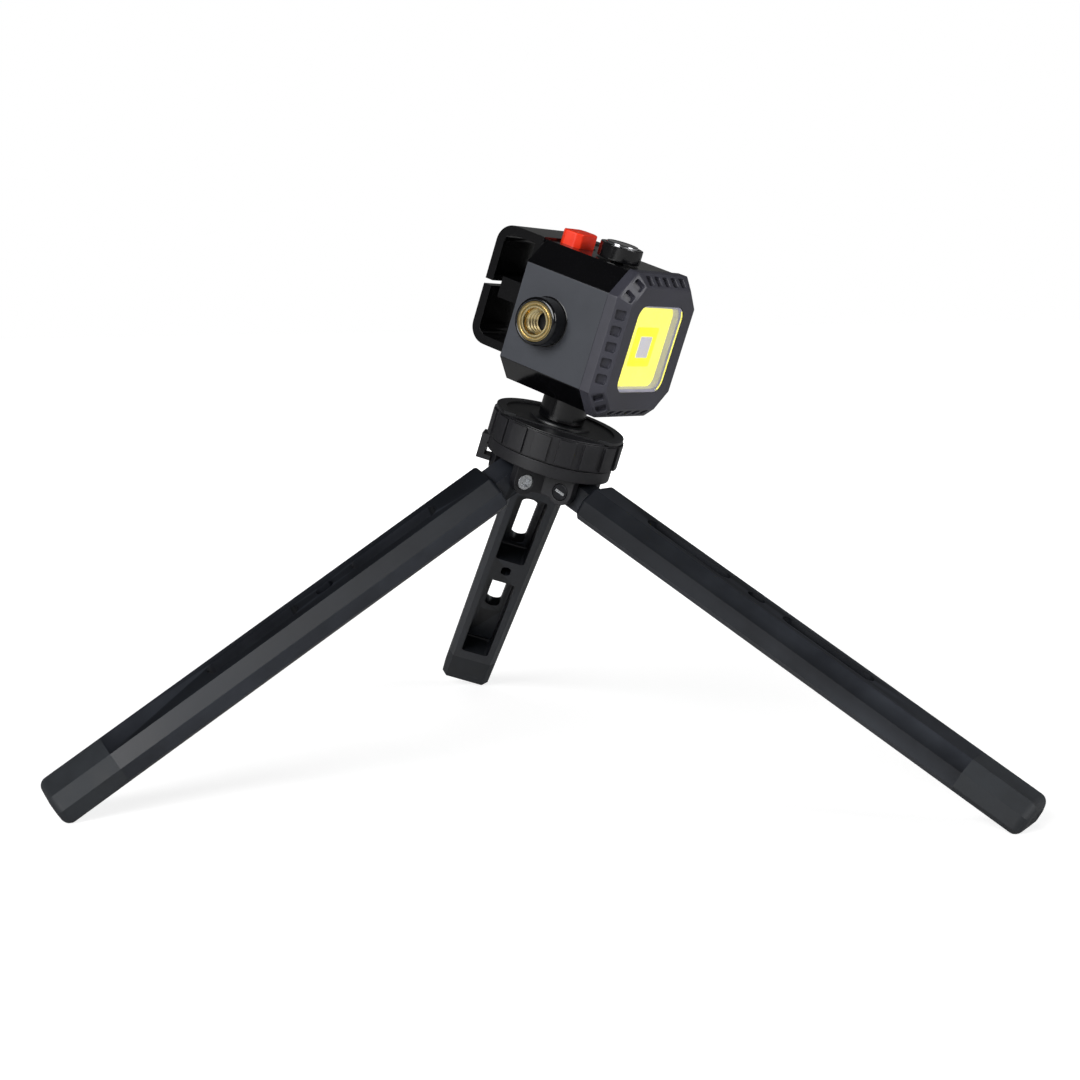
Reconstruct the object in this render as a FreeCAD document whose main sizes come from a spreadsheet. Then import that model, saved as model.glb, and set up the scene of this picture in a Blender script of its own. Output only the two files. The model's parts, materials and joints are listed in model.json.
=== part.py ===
import FreeCAD, Part
import math
import os
import Sketcher

# Compact work light on a folding three-leg table stand.
# World frame: +Z up, feet on Z = 0, origin under the middle of the whole object.
# Hub frame: origin at the middle of the platform's top, +Z up along the hub's axis.
# Head frame: hub frame turned about the hub's axis, +X where the light points.
# Leg frame: origin on the hinge pin, +X down the leg, +Y along the pin, +Z out of the outer face.

doc = FreeCAD.newDocument("worklight")
Vector = FreeCAD.Vector
Rotation = FreeCAD.Rotation
Placement = FreeCAD.Placement

# ---------------------------------------------------------------- driving dimensions
SIZES = dict(
    # stance
    hub_tilt=19.4, hub_lean_direction=-27.95, hub_height=88.65, leg_azimuth=88.25, head_turn=-34.95,
    # fits
    press_gap=0.02, running_gap=0.05, drop_in_gap=0.3,
    # platform, grip ring and collar
    platform_radius=16.2, platform_thick=0.4, platform_rim_width=2.4, platform_rim_tall=0.4,
    platform_pad_radius=7.6, flat_away=9.0, flat_direction=264.0,
    ring_radius=15.9, ring_groove=0.2, ring_tall=6.8, ring_web=1.6, ring_wall=1.8, groove_deep=0.9,
    lobe_count=16, lobe_angle=14.5, lobe_tall=6.2, lobe_proud=0.7, lobe_drop=0.4,
    collar_radius=15.6, collar_top=8.0, collar_tall=3.0, boss_radius=13.6, boss_top=3.7,
    core_radius=4.9, core_bottom=17.1, spindle_radius=2.5, stud_length=5.6, flange_radius=5.0,
    flange_thick=1.0, clip_radius=4.2, clip_thick=0.8, clip_space=0.2, spindle_tail=0.6,
    hook_direction=172.0, hook_wide=5.0, hook_thick=1.8, hook_reach=17.4, hook_bottom=14.6,
    hook_toe=13.9, hook_toe_thick=1.2,
    # leg hinges
    pin_out=9.0, pin_down=15.0, pin_radius=1.25, screw_head_radius=2.02, screw_head_tall=1.5,
    socket_wide=2.0, socket_deep=0.9, nut_thick=1.15, ear_gap=4.6, ear_thick=2.5, ear_radius=3.2,
    ear_start=3.4, ear_lift=1.0, ear_lap=0.5, head_seat_deep=1.6, nut_seat_deep=1.2, seat_gap=0.08,
    washer_thick=0.3, washer_radius=2.6,
    # legs
    leg_span=117.0, leg_start=6.2, tongue_half=4.1, tongue_radius=2.9, leg_outer=5.0, leg_inner=3.3,
    leg_flat_half=4.2, leg_half=7.25, inner_half=5.75, inner_bevel=1.5,
    slot_wide=4.2, upper_slot_start=21.0, upper_slot_end=46.0, oval_start=51.6, oval_end=56.4,
    oval_wide=2.6, lower_slot_start=62.0, lower_slot_end=88.0, pocket_wide=8.0, pocket_floor=2.2,
    upper_pocket_start=11.0, upper_pocket_end=48.0, lower_pocket_start=61.0, lower_pocket_end=111.5,
    pocket_round=1.2, tenon_long=12.0, tenon_inset=2.0, foot_long=17.6, foot_proud=0.0, foot_round=2.4,
    # light head
    head_bottom=7.0, head_tall=34.9, head_half=17.4, head_bevel=5.6, head_back=-11.25, head_front=12.75,
    head_wall=2.0, back_wall=2.2, neck_radius=5.75, neck_gap=0.25, neck_inside=3.5, side_boss_long=5.0,
    boss_shift=-1.5, insert_radius=4.75, insert_long=7.4, thread_radius=2.56, face_ring_outer=4.3,
    face_ring_inner=3.95, face_ring_deep=0.3,
    # front bezel and optics
    bezel_half=17.9, bezel_corner=6.2, bezel_straight=2.6, bezel_slope=2.9, window_half=10.7,
    window_tall_half=10.8, window_round=3.2, bezel_lip=1.0, notch_wide=2.3, notch_long=2.5,
    notch_deep=1.1, notch_pitch=3.9, seal_thick=0.3, lens_thick=1.0, lens_boss_below=0.2,
    frame_deep=1.8, board_thick=1.2, field_half=10.0, glow_half=5.0, glow_tall_half=4.9, die_half=2.65,
    layer_thick=0.25, optic_half=13.2, optic_tall_half=13.6, sink_thick=3.0, fin_gap=1.2, fin_pitch=2.6,
    fin_gap_deep=1.8,
    # controls
    button_x=-7.75, button_y=-3.3, button_long=5.8, button_wide=9.0, button_tall=3.4,
    button_skirt=3.4, button_room=4.5, button_corner=1.3, knob_x=4.25, knob_y=-3.3, knob_radius=5.25,
    knob_lift=0.3, knob_tall=3.5, knob_cap_radius=3.9, knob_cap_tall=0.5, shaft_radius=1.5,
    # parts inside the head
    circuit_long=16.0, circuit_wide=26.0, circuit_thick=1.2, circuit_down=8.2, component_down=7.0,
    switch_tall=1.6, pot_radius=3.2, pot_tall=4.4, cell_radius=8.0, cell_long=28.0, cell_x=-0.65,
    cell_down=4.4,
    # strap bracket
    bracket_back=-24.2, bracket_bottom=12.7, bracket_top=42.4, bracket_wide=26.0, bracket_thick=2.2,
    bracket_round=4.5, mouth_low=26.8, mouth_high=28.1, base_thick=2.0, rib_reach=6.2, rib_tall=5.2,
    bracket_screw_radius=1.4, bracket_screw_side=8.0, bracket_screw_head=2.6, bracket_head_tall=0.9,
    bracket_head_deep=2.0,
)

dims = doc.addObject("Spreadsheet::Sheet", "dims")
for row, (alias, number) in enumerate(SIZES.items(), start=1):
    dims.set("A%d" % row, alias)
    dims.set("B%d" % row, str(number))
    dims.setAlias("B%d" % row, alias)
doc.recompute()


def size(alias):
    return float(dims.get(alias))


def tie(thing, **links):
    """Bind properties of an object to expressions over the sheet."""
    for name, expression in links.items():
        thing.setExpression(name, expression)
    return thing


# ---------------------------------------------------------------- small builders
def turned(axis):
    """Rotation that carries +Z onto the named axis, or onto its reverse for '-X', '-Y' and '-Z'."""
    ends = {"X": Vector(1, 0, 0), "Y": Vector(0, 1, 0), "Z": Vector(0, 0, 1)}
    end = ends[axis[-1]]
    return Rotation(Vector(0, 0, 1), end * (-1 if axis.startswith("-") else 1))


def cylinder(name, at, radius, height, axis="Z"):
    solid = doc.addObject("Part::Cylinder", name)
    tie(solid, Radius=radius, Height=height)
    solid.Placement = Placement(Vector(*at), turned(axis))
    return solid


def block(name, at, length, width, height):
    """Box whose lowest corner is at the given place."""
    solid = doc.addObject("Part::Box", name)
    tie(solid, Length=length, Width=width, Height=height)
    solid.Placement = Placement(Vector(*at), Rotation())
    return solid


def joined(name, pieces):
    fuse = doc.addObject("Part::MultiFuse", name)
    fuse.Shapes = pieces
    fuse.Refine = True
    return fuse


def less(name, base, tools):
    """Base with every tool taken out of it."""
    cut = doc.addObject("Part::Cut", name)
    cut.Base = base
    cut.Tool = tools[0] if len(tools) == 1 else joined(name + "_tools", tools)
    cut.Refine = True
    return cut


def polygon(body, role, name, corners, lift="0"):
    """Closed straight-sided sketch on a lifted origin plane; each corner is a pair of expressions."""
    sketch = body.newObject("Sketcher::SketchObject", name)
    plane = [item for item in body.Origin.OriginFeatures if item.Role == role][0]
    sketch.AttachmentSupport = (plane, [""])
    sketch.MapMode = "FlatFace"
    sketch.setExpression("AttachmentOffset.Base.z", lift)
    count = len(corners)
    rough = [Vector(10 * math.cos(2 * math.pi * i / count), 10 * math.sin(2 * math.pi * i / count), 0)
             for i in range(count)]
    for i in range(count):
        sketch.addGeometry(Part.LineSegment(rough[i], rough[(i + 1) % count]), False)
    for i in range(count):
        sketch.addConstraint(Sketcher.Constraint("Coincident", i, 2, (i + 1) % count, 1))
    for i, (across, up) in enumerate(corners):
        for kind, expression, start in (("DistanceX", across, rough[i].x), ("DistanceY", up, rough[i].y)):
            index = sketch.addConstraint(Sketcher.Constraint(kind, i, 1, start))
            sketch.setExpression("Constraints[%d]" % index, expression)
    return sketch


def pad(body, sketch, name, length):
    feature = body.newObject("PartDesign::Pad", name)
    feature.Profile = sketch
    return tie(feature, Length=length)


def pocket(body, sketch, name, length):
    """Pocket that cuts towards the sketch plane's own normal."""
    feature = body.newObject("PartDesign::Pocket", name)
    feature.Profile = sketch
    feature.Reversed = True
    return tie(feature, Length=length)


def edges_where(shape, test):
    """Names of the edges whose middle point passes a test."""
    names = []
    for number, edge in enumerate(shape.Edges, start=1):
        middle = edge.valueAt((edge.FirstParameter + edge.LastParameter) / 2)
        if test(middle, edge):
            names.append("Edge%d" % number)
    return names


def rounded(body, base, name, radius, test, kind="PartDesign::Fillet"):
    """Fillet or chamfer on the edges of a feature that pass a test."""
    doc.recompute()
    feature = body.newObject(kind, name)
    feature.Base = (base, edges_where(base.Shape, test))
    tie(feature, **{"Radius" if kind.endswith("Fillet") else "Size": radius})
    return feature


def new_body(name):
    return doc.addObject("PartDesign::Body", name)


nodes = {}


def keep(label, thing, frame, spin=None):
    """Name a finished sub-part and note the frame it is modelled in."""
    if spin is not None:
        thing.Placement = spin.multiply(thing.Placement)
    thing.Label = label
    nodes[label] = (thing, frame)
    return thing


def near(value, target):
    return abs(value - target) < 0.01


# ---------------------------------------------------------------- platform, grip ring, screw
rim_low = -size("platform_rim_tall")
platform_low = rim_low - size("platform_thick")
ring_high = platform_low - size("ring_groove")
ring_low = ring_high - size("ring_tall")
web_low = platform_low - size("ring_web")
flange_low = web_low - size("flange_thick")


def make_platform():
    plate = cylinder("plate", (0, 0, platform_low), "dims.platform_radius", "dims.platform_thick")
    seat = cylinder("seat", (0, 0, rim_low), "dims.platform_pad_radius", "dims.platform_rim_tall")
    rim = cylinder("rim", (0, 0, rim_low), "dims.platform_radius", "dims.platform_rim_tall")
    inside = cylinder("rim_inside", (0, 0, rim_low), "dims.platform_radius - dims.platform_rim_width",
                      "dims.platform_rim_tall")
    band = less("rim_band", rim, [inside])
    bore = cylinder("platform_bore", (0, 0, platform_low), "dims.spindle_radius + dims.press_gap",
                    "dims.platform_thick + dims.platform_rim_tall")
    reach = size("platform_radius")
    flat = block("platform_flat", (size("flat_away"), -reach, platform_low - 1), "dims.platform_radius",
                 "2 * dims.platform_radius", "3")
    turn = Rotation(Vector(0, 0, 1), size("flat_direction"))
    flat.Placement = Placement(Vector(), turn).multiply(flat.Placement)
    blank = joined("platform_blank", [plate, seat, band])
    keep("platform_disc", less("platform", blank, [bore, flat]), "hub")


def make_grip_ring():
    wall = cylinder("ring_wall", (0, 0, ring_low), "dims.ring_radius", "dims.ring_tall")
    web = cylinder("ring_web", (0, 0, web_low), "dims.ring_radius - dims.groove_deep", "dims.ring_web")
    lobes = []
    for i in range(int(size("lobe_count"))):
        lobe = cylinder("lobe%d" % i, (0, 0, 0), "dims.ring_radius + dims.lobe_proud", "dims.lobe_tall")
        tie(lobe, Angle="dims.lobe_angle")
        turn = Rotation(Vector(0, 0, 1), i * 360.0 / size("lobe_count"))
        lobe.Placement = Placement(Vector(0, 0, ring_low + size("lobe_drop")), turn)
        lobes.append(lobe)
    room = cylinder("ring_room", (0, 0, ring_low), "dims.ring_radius - dims.ring_wall",
                    "dims.ring_tall + dims.ring_groove - dims.ring_web")
    bore = cylinder("ring_bore", (0, 0, ring_low), "dims.spindle_radius + dims.press_gap",
                    "2 * dims.ring_tall")
    keep("grip_ring", less("ring", joined("ring_blank", [wall, web] + lobes), [room, bore]), "hub")


def make_tripod_screw():
    reach = "dims.stud_length + dims.core_bottom + dims.clip_thick + dims.spindle_tail"
    bottom = -(size("core_bottom") + size("clip_thick") + size("spindle_tail"))
    spindle = cylinder("spindle", (0, 0, bottom), "dims.spindle_radius", reach)
    flange = cylinder("flange", (0, 0, flange_low), "dims.flange_radius", "dims.flange_thick")
    keep("tripod_screw", joined("screw", [spindle, flange]), "hub")
    clip_low = -size("core_bottom") - size("clip_space") - size("clip_thick")
    clip = cylinder("clip_disc", (0, 0, clip_low), "dims.clip_radius", "dims.clip_thick")
    hole = cylinder("clip_hole", (0, 0, clip_low), "dims.spindle_radius + dims.press_gap", "dims.clip_thick")
    keep("spindle_clip", less("clip", clip, [hole]), "hub")


# ---------------------------------------------------------------- collar with the leg hinges
LEGS = {"rear": 0, "left": 1, "right": 2}
collar_low = -size("collar_top") - size("collar_tall")
ear_out = size("ear_gap") + size("ear_thick")


def around(index):
    """Turn about the hub's axis that carries +X onto a leg's direction."""
    return Placement(Vector(), Rotation(Vector(0, 0, 1), size("leg_azimuth") + 120.0 * index))


def make_ears(leg):
    """Two hinge ears for a leg, with the holes and seats for its screw and nut, along +X."""
    out, down = size("pin_out"), -size("pin_down")
    inner, low = size("ear_start"), down - size("ear_radius") + size("ear_lift")
    pieces = []
    for side, start in (("near", size("ear_gap")), ("far", -ear_out)):
        name = "ear_%s_%s" % (leg, side)
        pieces.append(cylinder(name + "_eye", (out, start, down), "dims.ear_radius", "dims.ear_thick", "Y"))
        pieces.append(block(name + "_root", (inner, start, low), "dims.pin_out - dims.ear_start",
                            "dims.ear_thick",
                            "dims.pin_down + dims.ear_radius - dims.ear_lift - dims.collar_top"))
        pieces.append(block(name + "_neck", (out - size("ear_lap"), start, down),
                            "dims.ear_radius + dims.ear_lap", "dims.ear_thick",
                            "dims.pin_down - dims.collar_top - dims.ear_lift"))
    holes = [cylinder("pin_hole_" + leg, (out, -ear_out, down), "dims.pin_radius + dims.press_gap",
                      "2 * (dims.ear_gap + dims.ear_thick)", "Y"),
             cylinder("head_seat_" + leg, (out, ear_out - size("head_seat_deep"), down),
                      "dims.screw_head_radius + dims.seat_gap", "dims.head_seat_deep + 1", "Y"),
             cylinder("nut_seat_" + leg, (out, -ear_out - 1, down),
                      "dims.screw_head_radius + dims.seat_gap", "dims.nut_seat_deep + 1", "Y")]
    return pieces, holes


def make_collar():
    skirt = cylinder("skirt", (0, 0, collar_low), "dims.collar_radius", "dims.collar_tall")
    boss = cylinder("collar_boss", (0, 0, -size("collar_top")), "dims.boss_radius",
                    "dims.collar_top - dims.boss_top")
    core = cylinder("core", (0, 0, -size("core_bottom")), "dims.core_radius",
                    "dims.core_bottom - dims.collar_top")
    solids = [skirt, boss, core]
    tools = [cylinder("collar_bore", (0, 0, -size("core_bottom")), "dims.spindle_radius + dims.running_gap",
                      "dims.core_bottom")]
    for leg, index in LEGS.items():
        pieces, holes = make_ears(leg)
        for piece in pieces + holes:
            piece.Placement = around(index).multiply(piece.Placement)
        solids += pieces
        tools += holes
    keep("hub_collar", less("collar", joined("collar_blank", solids), tools), "hub")


def make_lanyard_hook():
    half = size("hook_wide") / 2
    reach = size("hook_reach")
    strap = block("hook_strap", (reach - size("hook_thick"), -half, -size("hook_bottom")),
                  "dims.hook_thick", "dims.hook_wide", "dims.hook_bottom - dims.collar_top - 0.3")
    toe = block("hook_toe", (size("hook_toe"), -half, -size("hook_bottom")),
                "dims.hook_reach - dims.hook_toe", "dims.hook_wide", "dims.hook_toe_thick")
    arm = block("hook_arm", (size("boss_radius"), -half, collar_low + 0.9),
                "dims.hook_reach - dims.boss_radius", "dims.hook_wide", "dims.collar_tall - 1.2")
    inner = cylinder("hook_inside", (0, 0, collar_low - 0.5), "dims.collar_radius + dims.press_gap", "6")
    spin = Placement(Vector(), Rotation(Vector(0, 0, 1), size("hook_direction")))
    keep("lanyard_hook", less("hook", joined("hook_blank", [strap, toe, arm]), [inner]), "hub", spin)


def make_hinge_hardware():
    for leg, index in LEGS.items():
        turn = around(index)
        out, down = size("pin_out"), -size("pin_down")
        shaft = cylinder("shaft_" + leg, (out, 0.1 - ear_out, down), "dims.pin_radius",
                         "2 * (dims.ear_gap + dims.ear_thick) - dims.head_seat_deep - 0.1", "Y")
        head = cylinder("head_" + leg, (out, ear_out - size("head_seat_deep"), down),
                        "dims.screw_head_radius", "dims.screw_head_tall", "Y")
        socket = doc.addObject("Part::Prism", "socket_" + leg)
        socket.Polygon = 6
        tie(socket, Circumradius="dims.socket_wide / sqrt(3)", Height="2 * dims.socket_deep")
        head_face = ear_out - size("head_seat_deep") + size("screw_head_tall")
        socket.Placement = Placement(Vector(out, head_face - size("socket_deep"), down), turned("Y"))
        screw = less("screw_" + leg, joined("screw_blank_" + leg, [shaft, head]), [socket])
        keep("hinge_screw_" + leg, screw, "hub", turn)
        nut = cylinder("nut_disc_" + leg, (out, -ear_out, down), "dims.screw_head_radius",
                       "dims.nut_thick", "Y")
        thread = cylinder("nut_hole_" + leg, (out, -ear_out, down), "dims.pin_radius + dims.press_gap",
                          "dims.nut_thick", "Y")
        keep("hinge_nut_" + leg, less("nut_" + leg, nut, [thread]), "hub", turn)
        for side, start in (("near", size("ear_gap") - size("washer_thick")), ("far", -size("ear_gap"))):
            name = "washer_%s_%s" % (leg, side)
            disc = cylinder(name + "_disc", (out, start, down), "dims.washer_radius", "dims.washer_thick",
                            "Y")
            hole = cylinder(name + "_hole", (out, start, down), "dims.pin_radius + dims.press_gap",
                            "dims.washer_thick", "Y")
            keep("hinge_" + name, less(name, disc, [hole]), "hub", turn)


# ---------------------------------------------------------------- legs and feet
def leg_section(grow):
    """Corners of the leg's section, grown or shrunk by a sheet expression."""
    shoulder = "dims.leg_outer - (dims.leg_half - dims.leg_flat_half)"
    right = [("dims.leg_flat_half + 0.41 * (%s)" % grow, "dims.leg_outer + (%s)" % grow),
             ("dims.leg_half + (%s)" % grow, "%s + 0.41 * (%s)" % (shoulder, grow)),
             ("dims.leg_half + (%s)" % grow, "-dims.leg_inner + dims.inner_bevel - 0.41 * (%s)" % grow),
             ("dims.inner_half + 0.41 * (%s)" % grow, "-dims.leg_inner - (%s)" % grow)]
    return right + [("-(%s)" % across, up) for across, up in reversed(right)]


def long_slot(name, start, end, width, low, high):
    """Round-ended slot cutter along the leg, between two heights."""
    radius = size(width) / 2
    begin, stop = size(start) + radius, size(end) - radius
    tall = "%s" % (high - low)
    run = block(name + "_run", (begin, -radius, low), "dims.%s - dims.%s - dims.%s" % (end, start, width),
                "dims." + width, tall)
    ends = [cylinder("%s_end%d" % (name, i), (at, 0, low), "dims.%s / 2" % width, tall)
            for i, at in enumerate((begin, stop))]
    return joined(name, [run] + ends)


def leg_pocket(name, start, end):
    """Pocket cutter open on the inner face, with rounded corners."""
    body = new_body(name)
    half = "dims.pocket_wide / 2"
    corners = [("dims." + start, "-" + half), ("dims." + end, "-" + half),
               ("dims." + end, half), ("dims." + start, half)]
    sketch = polygon(body, "XY_Plane", name + "_sketch", corners, "-dims.leg_inner - 1")
    block_pad = pad(body, sketch, name + "_pad", "dims.leg_inner + 1 + dims.pocket_floor")
    rounded(body, block_pad, name + "_round", "dims.pocket_round",
            lambda middle, edge: near(edge.tangentAt(edge.FirstParameter).z ** 2, 1))
    return body


def make_leg(leg):
    bar = new_body("bar_" + leg)
    section = polygon(bar, "YZ_Plane", "bar_section_" + leg, leg_section("0"), "dims.leg_start")
    pad(bar, section, "bar_pad_" + leg, "dims.leg_span - dims.leg_start")
    inset = polygon(bar, "YZ_Plane", "tenon_section_" + leg, leg_section("-dims.tenon_inset"),
                    "dims.leg_span")
    pad(bar, inset, "tenon_pad_" + leg, "dims.tenon_long")
    half = size("tongue_half")
    eye = cylinder("eye_" + leg, (0, -half, 0), "dims.tongue_radius", "2 * dims.tongue_half", "Y")
    neck = block("neck_" + leg, (0, -half, -size("tongue_radius")), "dims.leg_start + 1",
                 "2 * dims.tongue_half", "2 * dims.tongue_radius")
    inner, outer = -size("leg_inner"), size("leg_outer")
    tools = [cylinder("eye_hole_" + leg, (0, -half, 0), "dims.pin_radius + dims.running_gap",
                      "2 * dims.tongue_half", "Y"),
             long_slot("slot_a_" + leg, "upper_slot_start", "upper_slot_end", "slot_wide", 0, outer + 1),
             long_slot("slot_b_" + leg, "lower_slot_start", "lower_slot_end", "slot_wide", 0, outer + 1),
             long_slot("oval_" + leg, "oval_start", "oval_end", "oval_wide", inner - 1, outer + 1),
             leg_pocket("pocket_a_" + leg, "upper_pocket_start", "upper_pocket_end"),
             leg_pocket("pocket_b_" + leg, "lower_pocket_start", "lower_pocket_end")]
    keep("leg_" + leg, less("channel_" + leg, joined("leg_blank_" + leg, [bar, eye, neck]), tools), leg)


def make_foot(leg):
    boot = new_body("boot_" + leg)
    outside = polygon(boot, "YZ_Plane", "boot_section_" + leg, leg_section("dims.foot_proud"),
                      "dims.leg_span")
    solid = pad(boot, outside, "boot_pad_" + leg, "dims.foot_long")
    tip = size("leg_span") + size("foot_long")
    soft = rounded(boot, solid, "boot_round_" + leg, "dims.foot_round",
                   lambda middle, edge: near(middle.x, tip))
    room = polygon(boot, "YZ_Plane", "boot_room_" + leg, leg_section("0.1 - dims.tenon_inset"),
                   "dims.leg_span")
    pocket(boot, room, "boot_pocket_" + leg, "dims.tenon_long + 0.2")
    doc.recompute()
    if boot.Shape.Volume > soft.Shape.Volume - 100:
        raise RuntimeError("the foot's socket did not cut")
    keep("foot_" + leg, boot, leg)


# ---------------------------------------------------------------- light head: shell and inserts
head_low, head_high = size("head_bottom"), size("head_bottom") + size("head_tall")
head_mid = (head_low + head_high) / 2
HEAD_MID = "(dims.head_bottom + dims.head_tall / 2)"


def octagon(half, tall_half, corner):
    """Corners of an upright rectangle with cut corners, about the head's middle height."""
    wide, low, high = half, "%s - (%s)" % (HEAD_MID, tall_half), "%s + %s" % (HEAD_MID, tall_half)
    return [("-(%s) + %s" % (wide, corner), low), ("%s - (%s)" % (wide, corner), low),
            (wide, "%s + %s" % (low, corner)), (wide, "%s - (%s)" % (high, corner)),
            ("%s - (%s)" % (wide, corner), high), ("-(%s) + %s" % (wide, corner), high),
            ("-(%s)" % wide, "%s - (%s)" % (high, corner)), ("-(%s)" % wide, "%s + %s" % (low, corner))]


def rectangle(half, tall_half):
    low, high = "%s - (%s)" % (HEAD_MID, tall_half), "%s + %s" % (HEAD_MID, tall_half)
    return [("-(%s)" % half, low), (half, low), (half, high), ("-(%s)" % half, high)]


def panel(name, half, tall_half, start, thick, radius):
    """Upright plate with rounded corners, facing along the light's axis."""
    body = new_body(name)
    sketch = polygon(body, "YZ_Plane", name + "_sketch", rectangle(half, tall_half), start)
    flat = pad(body, sketch, name + "_pad", thick)
    rounded(body, flat, name + "_round", radius, lambda middle, edge: along_x(edge))
    return body


def along_x(edge):
    return near(edge.tangentAt(edge.FirstParameter).x ** 2, 1)


def make_shell():
    shell = new_body("shell_body")
    outside = polygon(shell, "YZ_Plane", "shell_outline",
                      octagon("dims.head_half", "dims.head_tall / 2", "dims.head_bevel"), "dims.head_back")
    pad(shell, outside, "shell_pad", "dims.head_front - dims.head_back")
    inside = polygon(shell, "YZ_Plane", "shell_inside",
                     octagon("dims.head_half - dims.head_wall", "dims.head_tall / 2 - dims.head_wall",
                             "(dims.head_bevel - 0.6 * dims.head_wall)"), "dims.head_back + dims.back_wall")
    pocket(shell, inside, "shell_pocket", "dims.head_front - dims.head_back")
    bottom = cylinder("neck", (0, 0, size("neck_gap")), "dims.neck_radius",
                      "dims.head_bottom - dims.neck_gap + dims.neck_inside")
    side_end = -size("head_half") - size("side_boss_long")
    boss = cylinder("side_boss", (size("boss_shift"), side_end, head_mid), "dims.neck_radius",
                    "dims.side_boss_long + dims.head_wall", "Y")
    gap = size("drop_in_gap")
    button_room = block("button_room", (size("button_x") - size("button_long") / 2 - gap,
                                        size("button_y") - size("button_wide") / 2 - gap,
                                        head_high - size("button_room")),
                        "dims.button_long + 2 * dims.drop_in_gap", "dims.button_wide + 2 * dims.drop_in_gap",
                        "dims.button_room + 1")
    tools = [cylinder("neck_seat", (0, 0, size("neck_gap") - 1), "dims.insert_radius",
                      "dims.insert_long + 1"),
             cylinder("side_seat", (size("boss_shift"), side_end - 1, head_mid), "dims.insert_radius",
                      "dims.insert_long + 1", "Y"),
             cylinder("shaft_hole", (size("knob_x"), size("knob_y"), head_high - 3),
                      "dims.shaft_radius + dims.running_gap", "6"), button_room]
    for y in (-1, 1):
        where = (size("head_back") - 1, y * size("bracket_screw_side"), head_mid)
        tools.append(cylinder("screw_hole%d" % y, where, "dims.bracket_screw_radius + dims.press_gap",
                              "dims.back_wall + 2", "X"))
    keep("head_shell", less("shell", joined("shell_blank", [shell, bottom, boss]), tools), "head")


def make_insert(label, at, axis):
    """Brass bush with a tapped bore, opening along the named axis's reverse, with a groove in its face."""
    sleeve = cylinder(label + "_sleeve", at, "dims.insert_radius", "dims.insert_long", axis)
    bore = cylinder(label + "_bore", at, "dims.thread_radius", "dims.insert_long", axis)
    ring = cylinder(label + "_ring", at, "dims.face_ring_outer", "dims.face_ring_deep", axis)
    core = cylinder(label + "_ring_core", at, "dims.face_ring_inner", "dims.face_ring_deep", axis)
    keep(label, less(label + "_cut", sleeve, [bore, less(label + "_groove", ring, [core])]), "head")


# ---------------------------------------------------------------- light head: bezel and optics
bezel_front = size("head_front") + size("bezel_straight") + size("bezel_slope")


def notch(name, y, z, turn):
    """Square cutter that sits in the bezel's sloping band."""
    half = size("notch_wide") / 2
    cutter = block(name, (0, 0, 0), "dims.notch_long", "dims.notch_wide", "2 * dims.notch_deep")
    slope = Placement(Vector(), Rotation(Vector(0, 1, 0), 45))
    local = Placement(Vector(-size("notch_long") / 2, -half, -size("notch_deep")), Rotation())
    where = Placement(Vector(bezel_front - size("bezel_slope") / 2, y, z), Rotation(Vector(1, 0, 0), turn))
    cutter.Placement = where.multiply(slope).multiply(local)
    return cutter


def bezel_notches():
    cutters = []
    reach = size("bezel_half") - size("bezel_slope") / 2
    for side in range(4):
        angle = 90.0 * side
        up = Rotation(Vector(1, 0, 0), angle)
        for i in range(-2, 3):
            spot = up.multVec(Vector(0, i * size("notch_pitch"), reach))
            cutters.append(notch("notch%d_%d" % (side, i + 2), spot.y, spot.z + head_mid, angle))
        middle = size("bezel_half") - size("bezel_corner") / 2
        slant = Rotation(Vector(1, 0, 0), angle + 45)
        radial = math.sqrt(2) * middle - size("bezel_slope") / 2
        for i in (-1, 1):
            spot = slant.multVec(Vector(0, i * size("notch_pitch") / 2, radial))
            cutters.append(notch("corner%d_%d" % (side, i + 1), spot.y, spot.z + head_mid, angle + 45))
    return cutters


def make_bezel():
    ring = new_body("bezel_body")
    outline = polygon(ring, "YZ_Plane", "bezel_outline",
                      octagon("dims.bezel_half", "dims.bezel_half", "dims.bezel_corner"), "dims.head_front")
    solid = pad(ring, outline, "bezel_pad", "dims.bezel_straight + dims.bezel_slope")
    rounded(ring, solid, "bezel_slope", "dims.bezel_slope", lambda middle, edge: near(middle.x, bezel_front),
            "PartDesign::Chamfer")
    window = panel("window_room", "dims.window_half", "dims.window_tall_half", "dims.head_front", "10",
                   "dims.window_round")
    room = panel("optic_room", "dims.optic_half + 0.2", "dims.optic_tall_half + 0.2",
                 "dims.head_front - 1", "1 + dims.bezel_straight + dims.bezel_slope - dims.bezel_lip",
                 "dims.window_round + 2")
    keep("front_bezel", less("bezel", ring, [window, room] + bezel_notches()), "head")


def frame_panel(label, half, tall_half, hole_half, hole_tall, start, thick):
    """Rounded plate with a rounded window in it."""
    plate = panel(label + "_plate", half, tall_half, start, thick, "dims.window_round + 1.8")
    hole = panel(label + "_hole", hole_half, hole_tall, start, thick, "dims.window_round - 0.8")
    keep(label, less(label + "_cut", plate, [hole]), "head")


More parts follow.
